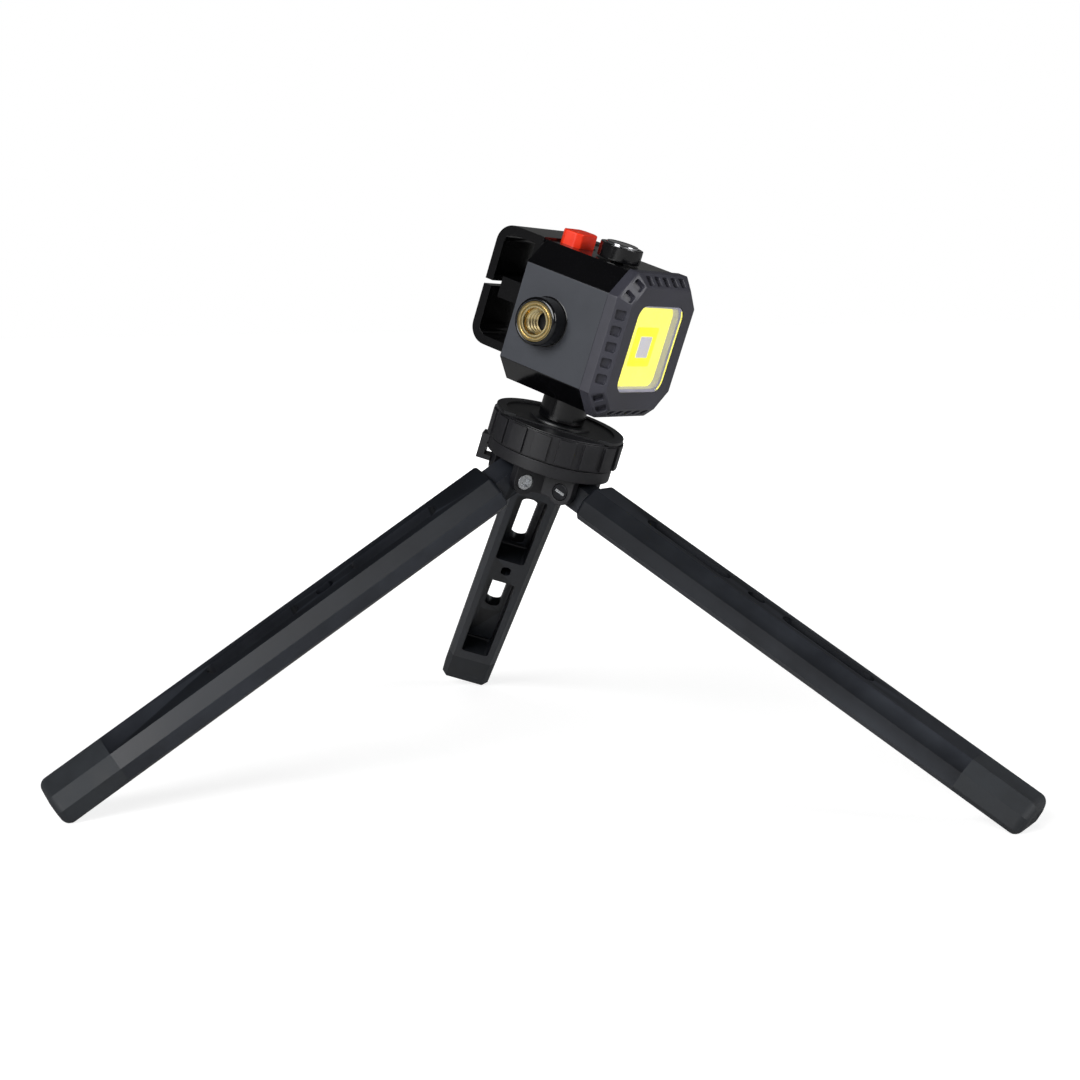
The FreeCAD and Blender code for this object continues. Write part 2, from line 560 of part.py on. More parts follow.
def make_optics():
    """Seal, stepped lens, reflector frame, light board and its glowing layers, from the front back."""
    front = "dims.head_front + dims.bezel_straight + dims.bezel_slope"
    seal = "%s - dims.bezel_lip - dims.seal_thick" % front
    lens = "%s - dims.lens_thick" % seal
    frame = "%s - dims.frame_deep" % lens
    board = "%s - dims.board_thick" % frame
    full, tall = "dims.optic_half", "dims.optic_tall_half"
    frame_panel("window_seal", full, tall, "dims.window_half + 0.4", "dims.window_tall_half + 0.4", seal,
                "dims.seal_thick")
    flange = panel("lens_flange", full, tall, lens, "dims.lens_thick", "dims.window_round + 1.8")
    boss = panel("lens_boss", "dims.window_half - 0.15", "dims.window_tall_half - 0.15", seal,
                 "dims.bezel_lip + dims.seal_thick - dims.lens_boss_below", "dims.window_round - 0.15")
    keep("window_lens", joined("lens", [flange, boss]), "head")
    frame_panel("reflector_frame", full, tall, "dims.field_half + 0.1", "dims.field_half + 0.1", frame,
                "dims.frame_deep")
    plate = panel("board", full, tall, board, "dims.board_thick", "dims.window_round + 1.8")
    keep("led_board", plate, "head")
    layers = (("light_field", "dims.field_half", "dims.field_half", 2.5),
              ("light_core", "dims.glow_half", "dims.glow_tall_half", 0.6),
              ("light_chip", "dims.die_half", "dims.die_half", 0.3))
    for i, (label, half, high, corner) in enumerate(layers):
        start = "%s + %d * dims.layer_thick" % (frame, i)
        keep(label, panel(label + "_plate", half, high, start, "dims.layer_thick", str(corner)), "head")
    sink = panel("sink_plate", "dims.optic_half", "dims.optic_half", "%s - dims.sink_thick" % board,
                 "dims.sink_thick", "dims.window_round + 1.8")
    sink_back = bezel_front - sum(size(name) for name in ("bezel_lip", "seal_thick", "lens_thick",
                                                          "frame_deep", "board_thick", "sink_thick"))
    grooves = []
    for i in range(-4, 5):
        corner = (sink_back - 1, i * size("fin_pitch") - size("fin_gap") / 2, head_mid - 15)
        grooves.append(block("fin_gap%d" % (i + 4), corner, "1 + dims.fin_gap_deep", "dims.fin_gap", "30"))
    keep("heat_sink", less("sink", sink, grooves), "head")


def make_electronics():
    board = block("board_blank", (size("cell_x") - 7.1, -size("circuit_wide") / 2,
                                  head_high - size("circuit_down")),
                  "dims.circuit_long", "dims.circuit_wide", "dims.circuit_thick")
    keep("circuit_board", board, "head")
    under = head_high - size("component_down")
    seat = size("head_back") + size("back_wall") + 0.2
    base = block("switch_base", (seat, size("button_y") - 3, under), "5", "6", "dims.switch_tall")
    plunger = cylinder("plunger", (seat + 2.4, size("button_y"), under + size("switch_tall")), "1.4", "0.9")
    keep("button_switch", joined("switch", [base, plunger]), "head")
    where = (size("knob_x"), size("knob_y"), under)
    drum = cylinder("pot_drum", where, "dims.pot_radius", "dims.pot_tall")
    hole = cylinder("pot_hole", where, "dims.shaft_radius + dims.running_gap", "dims.pot_tall")
    keep("dimmer", less("pot", drum, [hole]), "head")
    cell = cylinder("cell", (size("cell_x"), -size("cell_long") / 2, head_mid - size("cell_down")),
                    "dims.cell_radius", "dims.cell_long", "Y")
    keep("battery_cell", cell, "head")


# ---------------------------------------------------------------- controls
def make_controls():
    half_long, half_wide = size("button_long") / 2, size("button_wide") / 2
    cap = new_body("button_body")
    x, y, cut = "dims.button_x", "dims.button_y", "dims.button_corner"
    left, right = "%s - dims.button_long / 2" % x, "%s + dims.button_long / 2" % x
    low, high = "%s - dims.button_wide / 2" % y, "%s + dims.button_wide / 2" % y
    plan = [("%s + %s" % (left, cut), low), ("%s - %s" % (right, cut), low), (right, "%s + %s" % (low, cut)),
            (right, "%s - %s" % (high, cut)), ("%s - %s" % (right, cut), high),
            ("%s + %s" % (left, cut), high), (left, "%s - %s" % (high, cut)), (left, "%s + %s" % (low, cut))]
    sketch = polygon(cap, "XY_Plane", "button_plan", plan,
                     "dims.head_bottom + dims.head_tall - dims.button_skirt")
    solid = pad(cap, sketch, "button_pad", "dims.button_skirt + dims.button_tall")
    top = head_high + size("button_tall")
    rounded(cap, solid, "button_round", "0.4", lambda middle, edge: near(middle.z, top))
    keep("mode_button", cap, "head")
    place = (size("knob_x"), size("knob_y"))
    drum = cylinder("knob_drum", place + (head_high + size("knob_lift"),), "dims.knob_radius",
                    "dims.knob_tall")
    shaft_low = head_high - size("component_down") + 0.4
    shaft = cylinder("knob_shaft", place + (shaft_low,), "dims.shaft_radius", "dims.component_down")
    keep("dimmer_knob", joined("knob", [drum, shaft]), "head")
    disc = cylinder("knob_disc", place + (head_high + size("knob_lift") + size("knob_tall"),),
                    "dims.knob_cap_radius", "dims.knob_cap_tall")
    keep("knob_cap", disc, "head")


# ---------------------------------------------------------------- strap bracket
def make_bracket():
    loop = new_body("bracket_body")
    back, front = "dims.bracket_back", "dims.head_back"
    low, high, thick = "dims.bracket_bottom", "dims.bracket_top", "dims.bracket_thick"
    half = size("bracket_wide") / 2

    def slab(name, corners, feature, length, lift):
        """Feature on the upright fore-and-aft plane, whose normal points along -Y."""
        sketch = polygon(loop, "XZ_Plane", name, corners, lift)
        return feature(loop, sketch, name + "_cut", length)

    outline = [(back, low), (front, low), (front, high), (back, high)]
    solid = slab("bracket_outline", outline, pad, "dims.bracket_wide", "-dims.bracket_wide / 2")
    soft = rounded(loop, solid, "bracket_round", "dims.bracket_round",
                   lambda middle, edge: near(middle.y, 0) and near(middle.x, size("bracket_back")))
    left, right = "%s + %s" % (back, thick), "%s - dims.base_thick" % front
    inner = [(left, "%s + %s" % (low, thick)), (right, "%s + %s" % (low, thick)),
             (right, "%s - %s" % (high, thick)), (left, "%s - %s" % (high, thick))]
    hollow = slab("bracket_inside", inner, pocket, "dims.bracket_wide", "-dims.bracket_wide / 2")
    rounded(loop, hollow, "bracket_inner_round", "dims.bracket_round - dims.bracket_thick",
            lambda middle, edge: near(middle.y, 0) and middle.x < -18
            and near(middle.x, size("bracket_back") + size("bracket_thick")))
    doc.recompute()
    if loop.Shape.Volume > soft.Shape.Volume - 1000:
        raise RuntimeError("the bracket's channel did not cut")
    rib_front = size("head_back") - size("base_thick")
    rib = block("rib", (rib_front - size("rib_reach"), -half,
                        (size("mouth_low") + size("mouth_high") - size("rib_tall")) / 2),
                "dims.rib_reach + dims.base_thick / 2", "dims.bracket_wide", "dims.rib_tall")
    mouth = block("mouth", (size("bracket_back") - 1, -half - 1, size("mouth_low")),
                  "dims.bracket_thick + 1.5", "dims.bracket_wide + 2", "dims.mouth_high - dims.mouth_low")
    tools = [mouth]
    for y in (-1, 1):
        side = y * size("bracket_screw_side")
        well = size("head_back") - size("base_thick") - size("rib_reach") - 1
        head_low_x = size("head_back") - size("bracket_head_deep")
        shank_low = head_low_x + size("bracket_head_tall")
        tools.append(cylinder("bracket_hole%d" % y, (well, side, head_mid),
                              "dims.bracket_screw_radius + dims.press_gap", "dims.rib_reach + 4", "X"))
        tools.append(cylinder("head_sink%d" % y, (well, side, head_mid), "dims.bracket_screw_head + 0.1",
                              "1 + dims.rib_reach + dims.base_thick - dims.bracket_head_deep"
                              " + dims.bracket_head_tall", "X"))
        shank = cylinder("bracket_shank%d" % y, (shank_low, side, head_mid), "dims.bracket_screw_radius",
                         "dims.bracket_head_deep - dims.bracket_head_tall + dims.back_wall", "X")
        head = cylinder("bracket_head%d" % y, (head_low_x, side, head_mid), "dims.bracket_screw_head",
                        "dims.bracket_head_tall", "X")
        label = "bracket_screw_" + ("near" if y < 0 else "far")
        keep(label, joined("bracket_fastener%d" % y, [shank, head]), "head")
    keep("strap_bracket", less("bracket", joined("bracket_blank", [loop, rib]), tools), "head")


# ---------------------------------------------------------------- build every sub-part
make_platform()
make_grip_ring()
make_tripod_screw()
make_collar()
make_lanyard_hook()
make_hinge_hardware()
for name in LEGS:
    make_leg(name)
    make_foot(name)
make_shell()
make_insert("base_insert", (0, 0, size("neck_gap")), "Z")
make_insert("side_insert", (size("boss_shift"), -size("head_half") - size("side_boss_long"), head_mid), "Y")
make_bezel()
make_optics()
make_electronics()
make_controls()
make_bracket()
doc.recompute()

for item in doc.Objects:
    if "Invalid" in item.State or "Error" in item.State:
        raise RuntimeError("%s did not recompute: %s" % (item.Label, item.State))

# ---------------------------------------------------------------- stance
lean = math.radians(size("hub_lean_direction"))
hub_frame = Placement(Vector(0, 0, size("hub_height")),
                      Rotation(Vector(-math.sin(lean), math.cos(lean), 0), size("hub_tilt")))


def leg_frame(leg, splay):
    """Placement of a leg opened by an angle from the hub's axis."""
    angle = math.radians(splay)
    down = Vector(math.sin(angle), 0, -math.cos(angle))
    out = Vector(math.cos(angle), 0, math.sin(angle))
    local = Placement(Vector(size("pin_out"), 0, -size("pin_down")),
                      Rotation(down, Vector(0, 1, 0), out, "ZXY"))
    return hub_frame.multiply(around(LEGS[leg])).multiply(local)


def lowest(shape, place):
    moved = shape.copy()
    moved.Placement = place.multiply(moved.Placement)
    return moved.optimalBoundingBox(False, False).ZMin


def standing_splay(leg):
    """Opening at which a leg's foot just touches the ground."""
    foot = nodes["foot_" + leg][0].Shape
    narrow, wide = 20.0, 88.0
    for _ in range(24):
        middle = (narrow + wide) / 2
        if lowest(foot, leg_frame(leg, middle)) < 0:
            narrow = middle
        else:
            wide = middle
    return (narrow + wide) / 2


splay = {leg: standing_splay(leg) for leg in LEGS}
frames = {"hub": hub_frame,
          "head": hub_frame.multiply(Placement(Vector(), Rotation(Vector(0, 0, 1), size("head_turn"))))}
for leg in LEGS:
    frames[leg] = leg_frame(leg, splay[leg])
for thing, frame in nodes.values():
    thing.Placement = frames[frame].multiply(thing.Placement)
whole = Part.makeCompound([thing.Shape for thing, frame in nodes.values()]).optimalBoundingBox(False, False)
shift = Placement(Vector(-whole.Center.x, -whole.Center.y, -whole.ZMin), Rotation())
for thing, frame in nodes.values():
    thing.Placement = shift.multiply(thing.Placement)
frames = {name: shift.multiply(frame) for name, frame in frames.items()}

# ---------------------------------------------------------------- checks and files
for label, (thing, frame) in nodes.items():
    if thing.Shape.isNull() or not thing.Shape.isValid() or not thing.Shape.Solids:
        raise RuntimeError("%s has no valid solid" % label)
os.makedirs("parts", exist_ok=True)
for label, (thing, frame) in nodes.items():
    thing.Shape.exportStep("parts/%s.step" % label)
print(len(nodes), "sub-parts; leg openings", {leg: round(angle, 2) for leg, angle in splay.items()})
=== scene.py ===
import json
from math import atan2, cos, degrees, hypot, pi, radians, sin

import bmesh
import bpy
from mathutils import Matrix, Vector


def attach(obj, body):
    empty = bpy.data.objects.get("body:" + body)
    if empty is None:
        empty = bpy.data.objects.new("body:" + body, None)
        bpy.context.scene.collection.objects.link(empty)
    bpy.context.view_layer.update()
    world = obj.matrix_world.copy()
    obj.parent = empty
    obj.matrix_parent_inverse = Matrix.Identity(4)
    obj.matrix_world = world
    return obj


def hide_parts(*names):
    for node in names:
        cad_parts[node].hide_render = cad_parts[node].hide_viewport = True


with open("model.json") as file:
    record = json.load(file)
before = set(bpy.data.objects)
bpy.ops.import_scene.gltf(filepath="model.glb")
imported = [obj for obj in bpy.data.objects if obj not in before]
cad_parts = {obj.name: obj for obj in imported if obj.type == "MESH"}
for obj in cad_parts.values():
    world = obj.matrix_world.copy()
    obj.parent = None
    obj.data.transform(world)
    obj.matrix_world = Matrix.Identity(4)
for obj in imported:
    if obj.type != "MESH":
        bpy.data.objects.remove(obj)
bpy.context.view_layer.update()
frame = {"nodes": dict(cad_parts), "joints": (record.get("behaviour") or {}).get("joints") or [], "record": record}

# Compact LED work light on a folding three-leg table stand.
# Every piece is modelled in one of three frames, the ones the design uses, and then set in place:
#   hub:  origin at the middle of the platform's top, +Z up along the hub's axis
#   head: the hub frame turned about that axis, +X where the light points
#   leg:  origin on the hinge pin, +X down the leg, +Y along the pin, +Z out of the outer face
# Sizes in the modelling functions are in millimetres.
MM = 0.001
LEGS = ("rear", "left", "right")
HEAD_TURN = -34.95         # degrees from the hub frame to the head frame

nodes, record = frame["nodes"], frame["record"]
joints = {joint["name"]: joint for joint in frame["joints"]}
mounts = {mount["name"]: mount for mount in record["mounts"]}


# ---------------------------------------------------------------- frames
def axes(x, y, z, origin):
    """Placement from three unit axes and an origin."""
    return Matrix.Translation(origin) @ Matrix((x, y, z)).transposed().to_4x4()


hub_axis = Vector(joints["ring_spin"]["axis"]).normalized()
hub_origin = Vector(joints["ring_spin"]["pos_m"])


def head_place():
    """Head frame, from the hub's axis and the side thread's."""
    y = -Vector(mounts["side_thread"]["axis"]).normalized()
    return axes(y.cross(hub_axis), y, hub_axis, hub_origin)


def leg_place(leg):
    """Frame of one leg as it stands, from its hinge."""
    hinge = joints["leg_%s_hinge" % leg]
    opening = -radians(hinge["range_deg"][0])
    y = -Vector(hinge["axis"]).normalized()
    down = y.cross(hub_axis) * sin(opening) - hub_axis * cos(opening)
    return axes(down, y, down.cross(y), Vector(hinge["pos_m"]))


HEAD = head_place()
HUB = HEAD @ Matrix.Rotation(radians(-HEAD_TURN), 4, "Z")
LEG = {leg: leg_place(leg) for leg in LEGS}


# ---------------------------------------------------------------- hand tools
def let_go():
    """Back to object mode with nothing selected."""
    if bpy.context.mode != "OBJECT":
        bpy.ops.object.mode_set(mode="OBJECT")
    bpy.ops.object.select_all(action="DESELECT")


def solo(piece):
    """Make one object the only selected one, in object mode."""
    let_go()
    piece.select_set(True)
    bpy.context.view_layer.objects.active = piece
    return piece


def started(name):
    """Name the primitive that was just added and put its size and place in its mesh."""
    piece = bpy.context.active_object
    piece.name = name
    piece.data.name = name
    bpy.ops.object.transform_apply(location=True, rotation=True, scale=True)
    return piece


def slab(name, low, high):
    """Cube primitive between two corners."""
    let_go()
    low, high = Vector(low) * MM, Vector(high) * MM
    bpy.ops.mesh.primitive_cube_add(size=1, location=(low + high) / 2, scale=high - low)
    return started(name)


def drum(name, radius, start, end, axis="Z", at=(0, 0, 0), sides=96):
    """Cylinder primitive between two distances along an axis."""
    let_go()
    turn = {"X": (0, pi / 2, 0), "Y": (-pi / 2, 0, 0), "Z": (0, 0, 0)}[axis]
    along = Vector([letter == axis for letter in "XYZ"])
    bpy.ops.mesh.primitive_cylinder_add(
        vertices=sides, radius=radius * MM, depth=(end - start) * MM, end_fill_type="NGON",
        location=(Vector(at) + along * (start + end) / 2) * MM, rotation=turn)
    return started(name)


def pick(piece, kind, test):
    """In edit mode, select the faces, edges or vertices whose middle (mm) and direction pass a test."""
    if bpy.context.mode != "EDIT_MESH" or bpy.context.active_object != piece:
        solo(piece)
        bpy.ops.object.mode_set(mode="EDIT")
    bpy.ops.mesh.select_mode(type=kind)
    bpy.ops.mesh.select_all(action="DESELECT")
    mesh = bmesh.from_edit_mesh(piece.data)
    mesh.normal_update()
    if kind == "FACE":
        found = [(face, face.calc_center_median(), face.normal) for face in mesh.faces]
    elif kind == "EDGE":
        found = [(edge, (edge.verts[0].co + edge.verts[1].co) / 2,
                  (edge.verts[1].co - edge.verts[0].co).normalized()) for edge in mesh.edges]
    else:
        found = [(vertex, vertex.co, vertex.normal) for vertex in mesh.verts]
    for item, middle, way in found:
        if test(middle / MM, way):
            item.select_set(True)
    mesh.select_flush_mode()
    bmesh.update_edit_mesh(piece.data)


def everything(middle, way):
    """Test for pick that takes all."""
    return True


def inset(wide):
    """Inset the selected faces."""
    bpy.ops.mesh.inset(thickness=wide * MM, use_even_offset=True)


def push(x=0, y=0, z=0):
    """Extrude the selected faces."""
    bpy.ops.mesh.extrude_region_move(TRANSFORM_OT_translate={"value": Vector((x, y, z)) * MM})


def shift(x=0, y=0, z=0):
    """Move what is selected."""
    bpy.ops.transform.translate(value=Vector((x, y, z)) * MM)


def round_off(wide, segments=1):
    """Bevel the selected edges."""
    bpy.ops.mesh.bevel(offset=wide * MM, segments=segments, affect="EDGES", clamp_overlap=True)


def modify(piece, kind, **settings):
    """Add a modifier to a piece and apply it."""
    solo(piece)
    modifier = piece.modifiers.new(kind.lower(), kind)
    for name, value in settings.items():
        setattr(modifier, name, value)
    bpy.ops.object.modifier_apply(modifier=modifier.name)
    return piece


def tidy_faces(piece):
    """Merge doubled points and flat neighbouring faces."""
    pick(piece, "VERT", everything)
    bpy.ops.mesh.remove_doubles(threshold=0.002 * MM)
    bpy.ops.mesh.dissolve_limited(angle_limit=radians(0.6))
    bpy.ops.mesh.normals_make_consistent(inside=False)
    return solo(piece)


def combine(piece, others, operation="DIFFERENCE"):
    """Boolean with other pieces, which are used up."""
    for other in others:
        modify(piece, "BOOLEAN", operation=operation, object=other, solver="EXACT")
        bpy.data.meshes.remove(other.data)
    return tidy_faces(piece)


def soften(piece, wide, segments=2, angle=32):
    """Round every edge that is sharper than an angle."""
    return modify(piece, "BEVEL", width=wide * MM, segments=segments, limit_method="ANGLE",
                  angle_limit=radians(angle), miter_outer="MITER_ARC", use_clamp_overlap=True)


def twin(piece, name):
    """Copy of a piece with its own mesh."""
    mesh = piece.data.copy()
    mesh.name = name
    copy = bpy.data.objects.new(name, mesh)
    bpy.context.scene.collection.objects.link(copy)
    return copy


def joined(pieces):
    """Join several pieces into the first one."""
    solo(pieces[0])
    for piece in pieces:
        piece.select_set(True)
    bpy.ops.object.join()
    return pieces[0]


def refined(node, name, wide, segments=2, angle=32):
    """Copy of a design node, its triangles merged back to flat faces and its sharp edges rounded."""
    piece = twin(nodes[node], name)
    piece.data.materials.clear()
    solo(piece)
    bpy.ops.mesh.customdata_custom_splitnormals_clear()
    tidy_faces(piece)
    return soften(piece, wide, segments, angle)


def settle(piece, place, body, materials, stands_for=()):
    """Put a finished piece in place, with its place in its mesh, give it its materials, hang it on its body and
    hide the design parts it stands for.
    """
    solo(piece)
    piece.matrix_world = place
    bpy.ops.object.transform_apply(location=True, rotation=True, scale=True)
    bpy.ops.object.shade_smooth_by_angle(angle=radians(30))
    modify(piece, "WEIGHTED_NORMAL", keep_sharp=True, weight=60)
    for material in materials:
        piece.data.materials.append(material)
    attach(piece, body)
    if stands_for:
        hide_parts(*stands_for)
    return piece


def near(value, target, slack=0.01):
    """Whether two lengths in mm are the same."""
    return abs(value - target) < slack


# ---------------------------------------------------------------- material tools
def linear(code):
    """Linear colour of an sRGB hex value."""
    parts = [int(code[i:i + 2], 16) / 255 for i in (1, 3, 5)]
    return [p / 12.92 if p <= 0.04045 else ((p + 0.055) / 1.055) ** 2.4 for p in parts] + [1.0]


def node(tree, kind, sockets=None, ramp=None, **settings):
    """Add a shader node. Sockets take a value or another node's output; a ramp is a list of stops."""
    item = tree.nodes.new("ShaderNode" + kind)
    for name, value in settings.items():
        setattr(item, name, value)
    for name, value in (sockets or {}).items():
        if isinstance(value, bpy.types.NodeSocket):
            tree.links.new(value, item.inputs[name])
        else:
            item.inputs[name].default_value = value
    for i, (place, colour) in enumerate(ramp or []):
        stops = item.color_ramp.elements
        stop = stops[i] if i < len(stops) else stops.new(place)
        stop.position, stop.color = place, colour
    return item


def grey(value):
    """Linear grey."""
    return (value, value, value, 1.0)


def per(size):
    """Texture scale that makes one feature about a size in millimetres."""
    return 1 / (size * MM)


def blank(name):
    """New material with an empty node tree and its object coordinates."""
    material = bpy.data.materials.new(name)
    material.use_nodes = True
    material.node_tree.nodes.clear()
    tree = material.node_tree
    return material, tree, node(tree, "TexCoord").outputs["Object"]


def surface(tree, sockets):
    """Principled shader on the material's output."""
    shader = node(tree, "BsdfPrincipled", sockets)
    node(tree, "OutputMaterial", {"Surface": shader.outputs["BSDF"]})
    return shader


def grained(name, dark, light, patch, grain, relief, rough, worn=None, **sockets):
    """Surface with soft patches between two shades, uneven gloss and a fine grain in relief.

    patch and grain are in mm, relief is the grain's height in mm, rough is the range of roughness
    and worn is the paler shade of rubbed edges.
    """
    material, tree, where = blank(name)
    patches = node(tree, "TexNoise", {"Vector": where, "Scale": per(patch), "Detail": 4.0,
                                      "Roughness": 0.6}).outputs["Fac"]
    colour = node(tree, "ValToRGB", {"Fac": patches},
                  ramp=[(0.3, linear(dark)), (0.7, linear(light))]).outputs["Color"]
    if worn:
        sharp = node(tree, "NewGeometry").outputs["Pointiness"]
        rubbed = node(tree, "ValToRGB", {"Fac": sharp}, ramp=[(0.52, grey(0)), (0.62, grey(0.6))])
        patchy = node(tree, "Math", {0: rubbed.outputs["Color"], 1: patches}, operation="MULTIPLY")
        colour = node(tree, "Mix", {0: patchy.outputs[0], 6: colour, 7: linear(worn)},
                      data_type="RGBA").outputs[2]
    grains = node(tree, "TexNoise", {"Vector": where, "Scale": per(grain), "Detail": 2.0}).outputs["Fac"]
    gloss = node(tree, "MapRange", {"Value": patches, "From Min": 0.3, "From Max": 0.7,
                                    "To Min": rough[0], "To Max": rough[1]}).outputs["Result"]
    bump = node(tree, "Bump", {"Height": grains, "Distance": relief * MM, "Strength": 1.0})
    surface(tree, {"Base Color": colour, "Roughness": gloss, "Normal": bump.outputs["Normal"],
                   **{key.replace("_", " "): value for key, value in sockets.items()}})
    return material


def turned_metal(name, place, axis_point, dark, light, ring, relief, rough):
    """Lathe-turned metal: fine rings about an axis along local Z of a placement."""
    material, tree, where = blank(name)
    local = node(tree, "Mapping", {"Vector": where, "Location": place @ (Vector(axis_point) * MM),
                                   "Rotation": place.to_euler()}, vector_type="TEXTURE")
    rings = node(tree, "TexWave", {"Vector": local.outputs["Vector"], "Scale": per(ring) / 20,
                                   "Distortion": 0.6, "Detail": 2.0, "Detail Scale": 3.0},
                 wave_type="RINGS", rings_direction="Z").outputs["Fac"]
    colour = node(tree, "ValToRGB", {"Fac": rings}, ramp=[(0.1, linear(dark)), (0.9, linear(light))])
    gloss = node(tree, "MapRange", {"Value": rings, "To Min": rough[0], "To Max": rough[1]})
    bump = node(tree, "Bump", {"Height": rings, "Distance": relief * MM, "Strength": 1.0})
    surface(tree, {"Base Color": colour.outputs["Color"], "Roughness": gloss.outputs["Result"],
                   "Normal": bump.outputs["Normal"], "Metallic": 1.0})
    return material


# ---------------------------------------------------------------- materials
# Aluminium, extruded, bead-blasted and dyed black: an even dark blue-grey with a soft broad sheen.
anodised = grained("anodised_aluminium", "#0b0d12", "#11151b", 18, 0.22, 0.006, (0.36, 0.46),
                   worn="#4b4f58", Metallic=0.25, IOR=1.5)
# Thermoplastic rubber, moulded against a fine spark-eroded mould: dull and slightly paler.
rubber = grained("moulded_rubber", "#1f2226", "#282c31", 9, 0.3, 0.012, (0.6, 0.72), IOR=1.5)
# Zinc casting with baked satin black paint: smooth, small orange peel.
painted = grained("satin_black_paint", "#0a0b0d", "#101114", 12, 0.6, 0.004, (0.32, 0.42),
                  worn="#3b3d42", IOR=1.5)
# Glass-filled nylon, moulded: matte black with a coarse grain.
nylon_black = grained("glass_filled_nylon", "#0c0c10", "#131318", 10, 0.25, 0.012, (0.42, 0.54), IOR=1.53)
# ABS housing, spark-eroded texture: matte dark grey.
abs_matte = grained("textured_abs", "#32353c", "#393c43", 14, 0.18, 0.01, (0.46, 0.56), IOR=1.53)
# ABS housing, polished mould: jet black and mirror-like with slight waves.
abs_gloss = grained("polished_abs", "#060608", "#0a0a0c", 20, 1.6, 0.002, (0.1, 0.18), IOR=1.53)
# Polycarbonate bezel, satin mould: dark violet grey.
bezel_satin = grained("satin_polycarbonate", "#32323a", "#3b3b45", 12, 0.2, 0.008, (0.4, 0.5), IOR=1.58)
# ABS button, moulded in orange red: semi-gloss and saturated.
red_abs = grained("orange_red_abs", "#f22a0a", "#ff3a16", 5, 0.25, 0.005, (0.34, 0.44), IOR=1.53)
# Steel, zinc plated: bright with small crystalline patches.
zinc = grained("zinc_plated_steel", "#c3c6c9", "#e3e5e7", 1.2, 0.2, 0.003, (0.18, 0.32), Metallic=1.0)
# ABS, chrome plated: mirror bright with a faint ripple.
chrome = grained("chromed_plastic", "#c9cacd", "#dcdde0", 6, 1.2, 0.002, (0.05, 0.1), Metallic=1.0)
# Steel, black oxide on machined faces: near black with a dull metallic sheen.
black_steel = grained("black_oxide_steel", "#131316", "#1d1d20", 3, 0.2, 0.003, (0.28, 0.4),
                      worn="#54565b", Metallic=0.6)
# Nylon washer, stamped and dyed: dark and waxy.
natural_nylon = grained("natural_nylon_washer", "#1a1b1e", "#222326", 4, 0.2, 0.004, (0.4, 0.5), IOR=1.53)
# Brass, lathe-turned: pale gold with fine rings from the tool.
brass_mat = turned_metal("turned_brass", HEAD @ Matrix.Rotation(pi / 2, 4, "X"), (-1.5, 24.45, 20),
                         "#d9bd7c", "#f6e5b4", 0.12, 0.002, (0.2, 0.3))
# Moulded reflector, vapour-coated with aluminium: soft lilac grey, with a painted lilac glow standing for light
# from the field beside it.
silver = grained("aluminised_reflector", "#9a99a8", "#acabb9", 6, 0.4, 0.003, (0.5, 0.62), Metallic=0.1,
                 Emission_Color=linear("#cdccde"), Emission_Strength=0.35)
# Silicone rubber, moulded: dark, dull and smooth.
seal_rubber = grained("silicone_seal", "#191a1d", "#232427", 4, 0.3, 0.006, (0.5, 0.6), IOR=1.41)
# Phosphor gel, cast in a tray: pale yellow and slightly grainy, with a painted yellow glow.
phosphor = grained("phosphor_gel", "#fbe94a", "#fdf56a", 5, 0.25, 0.01, (0.4, 0.5), IOR=1.41,
                   Emission_Color=linear("#fffa70"), Emission_Strength=1.0)
# The same gel over the dies: strong yellow, with a stronger painted yellow glow.
phosphor_core = grained("phosphor_gel_core", "#fff200", "#fffb0c", 4, 0.2, 0.01, (0.3, 0.42), IOR=1.41,
                        Emission_Color=linear("#ffff06"), Emission_Strength=1.2)
# Silicon die under clear gel: pale lilac and smooth, with a painted pale glow.
chip_mat = grained("silicon_chip", "#c8c6d8", "#dad8e6", 1.5, 0.15, 0.004, (0.3, 0.4), IOR=1.5,
                   Emission_Color=linear("#dcdaea"), Emission_Strength=0.6)
# Glass-epoxy board, green solder mask: satin with the weave just felt.
green_board = grained("solder_mask_board", "#0d3b22", "#145231", 5, 0.4, 0.01, (0.3, 0.45), IOR=1.5)
# Aluminium-backed board, white solder mask: pale and satin.
white_board = grained("white_solder_mask", "#d8d9d4", "#e6e7e3", 5, 0.4, 0.01, (0.3, 0.45), IOR=1.5)
# Aluminium, die-cast and left bare: soft grey metal.
raw_aluminium = grained("die_cast_aluminium", "#8b8e92", "#a3a6aa", 6, 0.3, 0.01, (0.35, 0.5), Metallic=1.0)
# PVC sleeve, heat-shrunk round the cell: smooth blue film.
cell_wrap = grained("shrink_wrap_film", "#16508f", "#1d61a8", 8, 0.8, 0.004, (0.25, 0.35), IOR=1.53)
# Polycarbonate, polished mould: clear with a hair of waviness.
polycarbonate = grained("clear_polycarbonate", "#fafafa", "#ffffff", 10, 2.0, 0.0005, (0.02, 0.04),
                        IOR=1.58, Transmission_Weight=1.0)


# ---------------------------------------------------------------- legs
SPAN, TIP = 117, 134.6        # end of the bar and end of the foot
PIN = 1.3                     # radius of the hole for the hinge pin


def bar_section(name, start, end, grow):
    """Bar with the leg's eight-sided section: broad chamfers on the outer face, small ones inside."""
    half = 7.25 + grow
    bar = slab(name, (start, -half, -3.3 - grow), (end, half, 5 + grow))
    pick(bar, "EDGE", lambda c, d: abs(d.x) > 0.9 and c.z > 4)
    round_off(3.05 + 0.59 * grow)
    pick(bar, "EDGE", lambda c, d: abs(d.x) > 0.9 and c.z < -3)
    round_off(1.5 + 0.59 * grow)
    return bar


